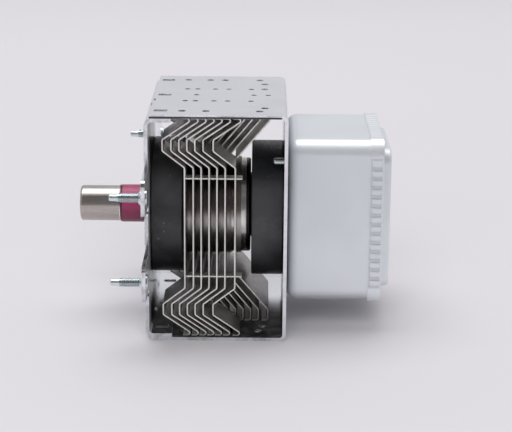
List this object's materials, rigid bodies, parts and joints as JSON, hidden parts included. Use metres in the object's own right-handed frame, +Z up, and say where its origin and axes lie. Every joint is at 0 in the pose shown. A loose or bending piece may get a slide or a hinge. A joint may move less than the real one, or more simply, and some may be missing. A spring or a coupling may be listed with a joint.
{
  "type": "microwave oven magnetron",
  "caption": "Microwave oven magnetron: finned anode between two ring magnets in a folded steel yoke, antenna at one end, filter box at the other.",
  "frame": {"origin": "where the antenna's axis crosses the outer face of the mounting flange, in the middle of the four studs", "axes": "+X from the antenna towards the filter box, +Y with the cooling air, +Z up from the side wall that it lies on"},
  "size_m": [0.1304, 0.119, 0.095],
  "materials": {
    "yoke_steel": "satin",
    "zinc_plate": "satin",
    "magnet_ferrite": "matte",
    "fin_aluminium": "satin",
    "copper": "satin",
    "pole_iron": "satin",
    "seal_metal": "satin",
    "output_alumina": "satin",
    "stem_alumina": "satin",
    "cap_nickel": "satin",
    "cathode_metal": "satin",
    "gasket_mesh": "satin",
    "box_steel": "satin",
    "capacitor_moulding": "matte",
    "tinned_brass": "satin",
    "core_ferrite": "matte",
    "enamelled_wire": "gloss"
  },
  "bodies": {
    "root": {"yoke_frame": "yoke_steel", "mounting_flange": "yoke_steel", "mounting_studs": "zinc_plate", "box_rivets": "zinc_plate", "capacitor_plate": "zinc_plate", "capacitor_rivets": "zinc_plate", "magnet_output": "magnet_ferrite", "magnet_input": "magnet_ferrite", "cooling_fin_1": "fin_aluminium", "cooling_fin_2": "fin_aluminium", "cooling_fin_3": "fin_aluminium", "cooling_fin_4": "fin_aluminium", "cooling_fin_5": "fin_aluminium", "cooling_fin_6": "fin_aluminium", "cooling_fin_7": "fin_aluminium", "anode_cylinder": "copper", "exhaust_tube": "copper", "antenna_lead": "copper", "anode_vane_01": "copper", "anode_vane_02": "copper", "anode_vane_03": "copper", "anode_vane_04": "copper", "anode_vane_05": "copper", "anode_vane_06": "copper", "anode_vane_07": "copper", "anode_vane_08": "copper", "anode_vane_09": "copper", "anode_vane_10": "copper", "inner_strap_output": "copper", "inner_strap_input": "copper", "outer_strap_output": "copper", "outer_strap_input": "copper", "pole_piece_output": "pole_iron", "pole_piece_input": "pole_iron", "seal_output": "seal_metal", "seal_input": "seal_metal", "output_ceramic": "output_alumina", "stem_ceramic": "stem_alumina", "antenna_cap": "cap_nickel", "filament": "cathode_metal", "end_hat_output": "cathode_metal", "end_hat_input": "cathode_metal", "cathode_centre_lead": "cathode_metal", "cathode_side_lead": "cathode_metal", "rf_gasket": "gasket_mesh", "filter_box": "box_steel", "filter_box_lid": "box_steel", "capacitor_body": "capacitor_moulding", "blade_terminal_1": "tinned_brass", "blade_terminal_2": "tinned_brass", "stem_terminal_1": "tinned_brass", "stem_terminal_2": "tinned_brass", "choke_core_1": "core_ferrite", "choke_core_2": "core_ferrite", "choke_coil_1": "enamelled_wire", "choke_coil_2": "enamelled_wire"}
  },
  "joints": []
}
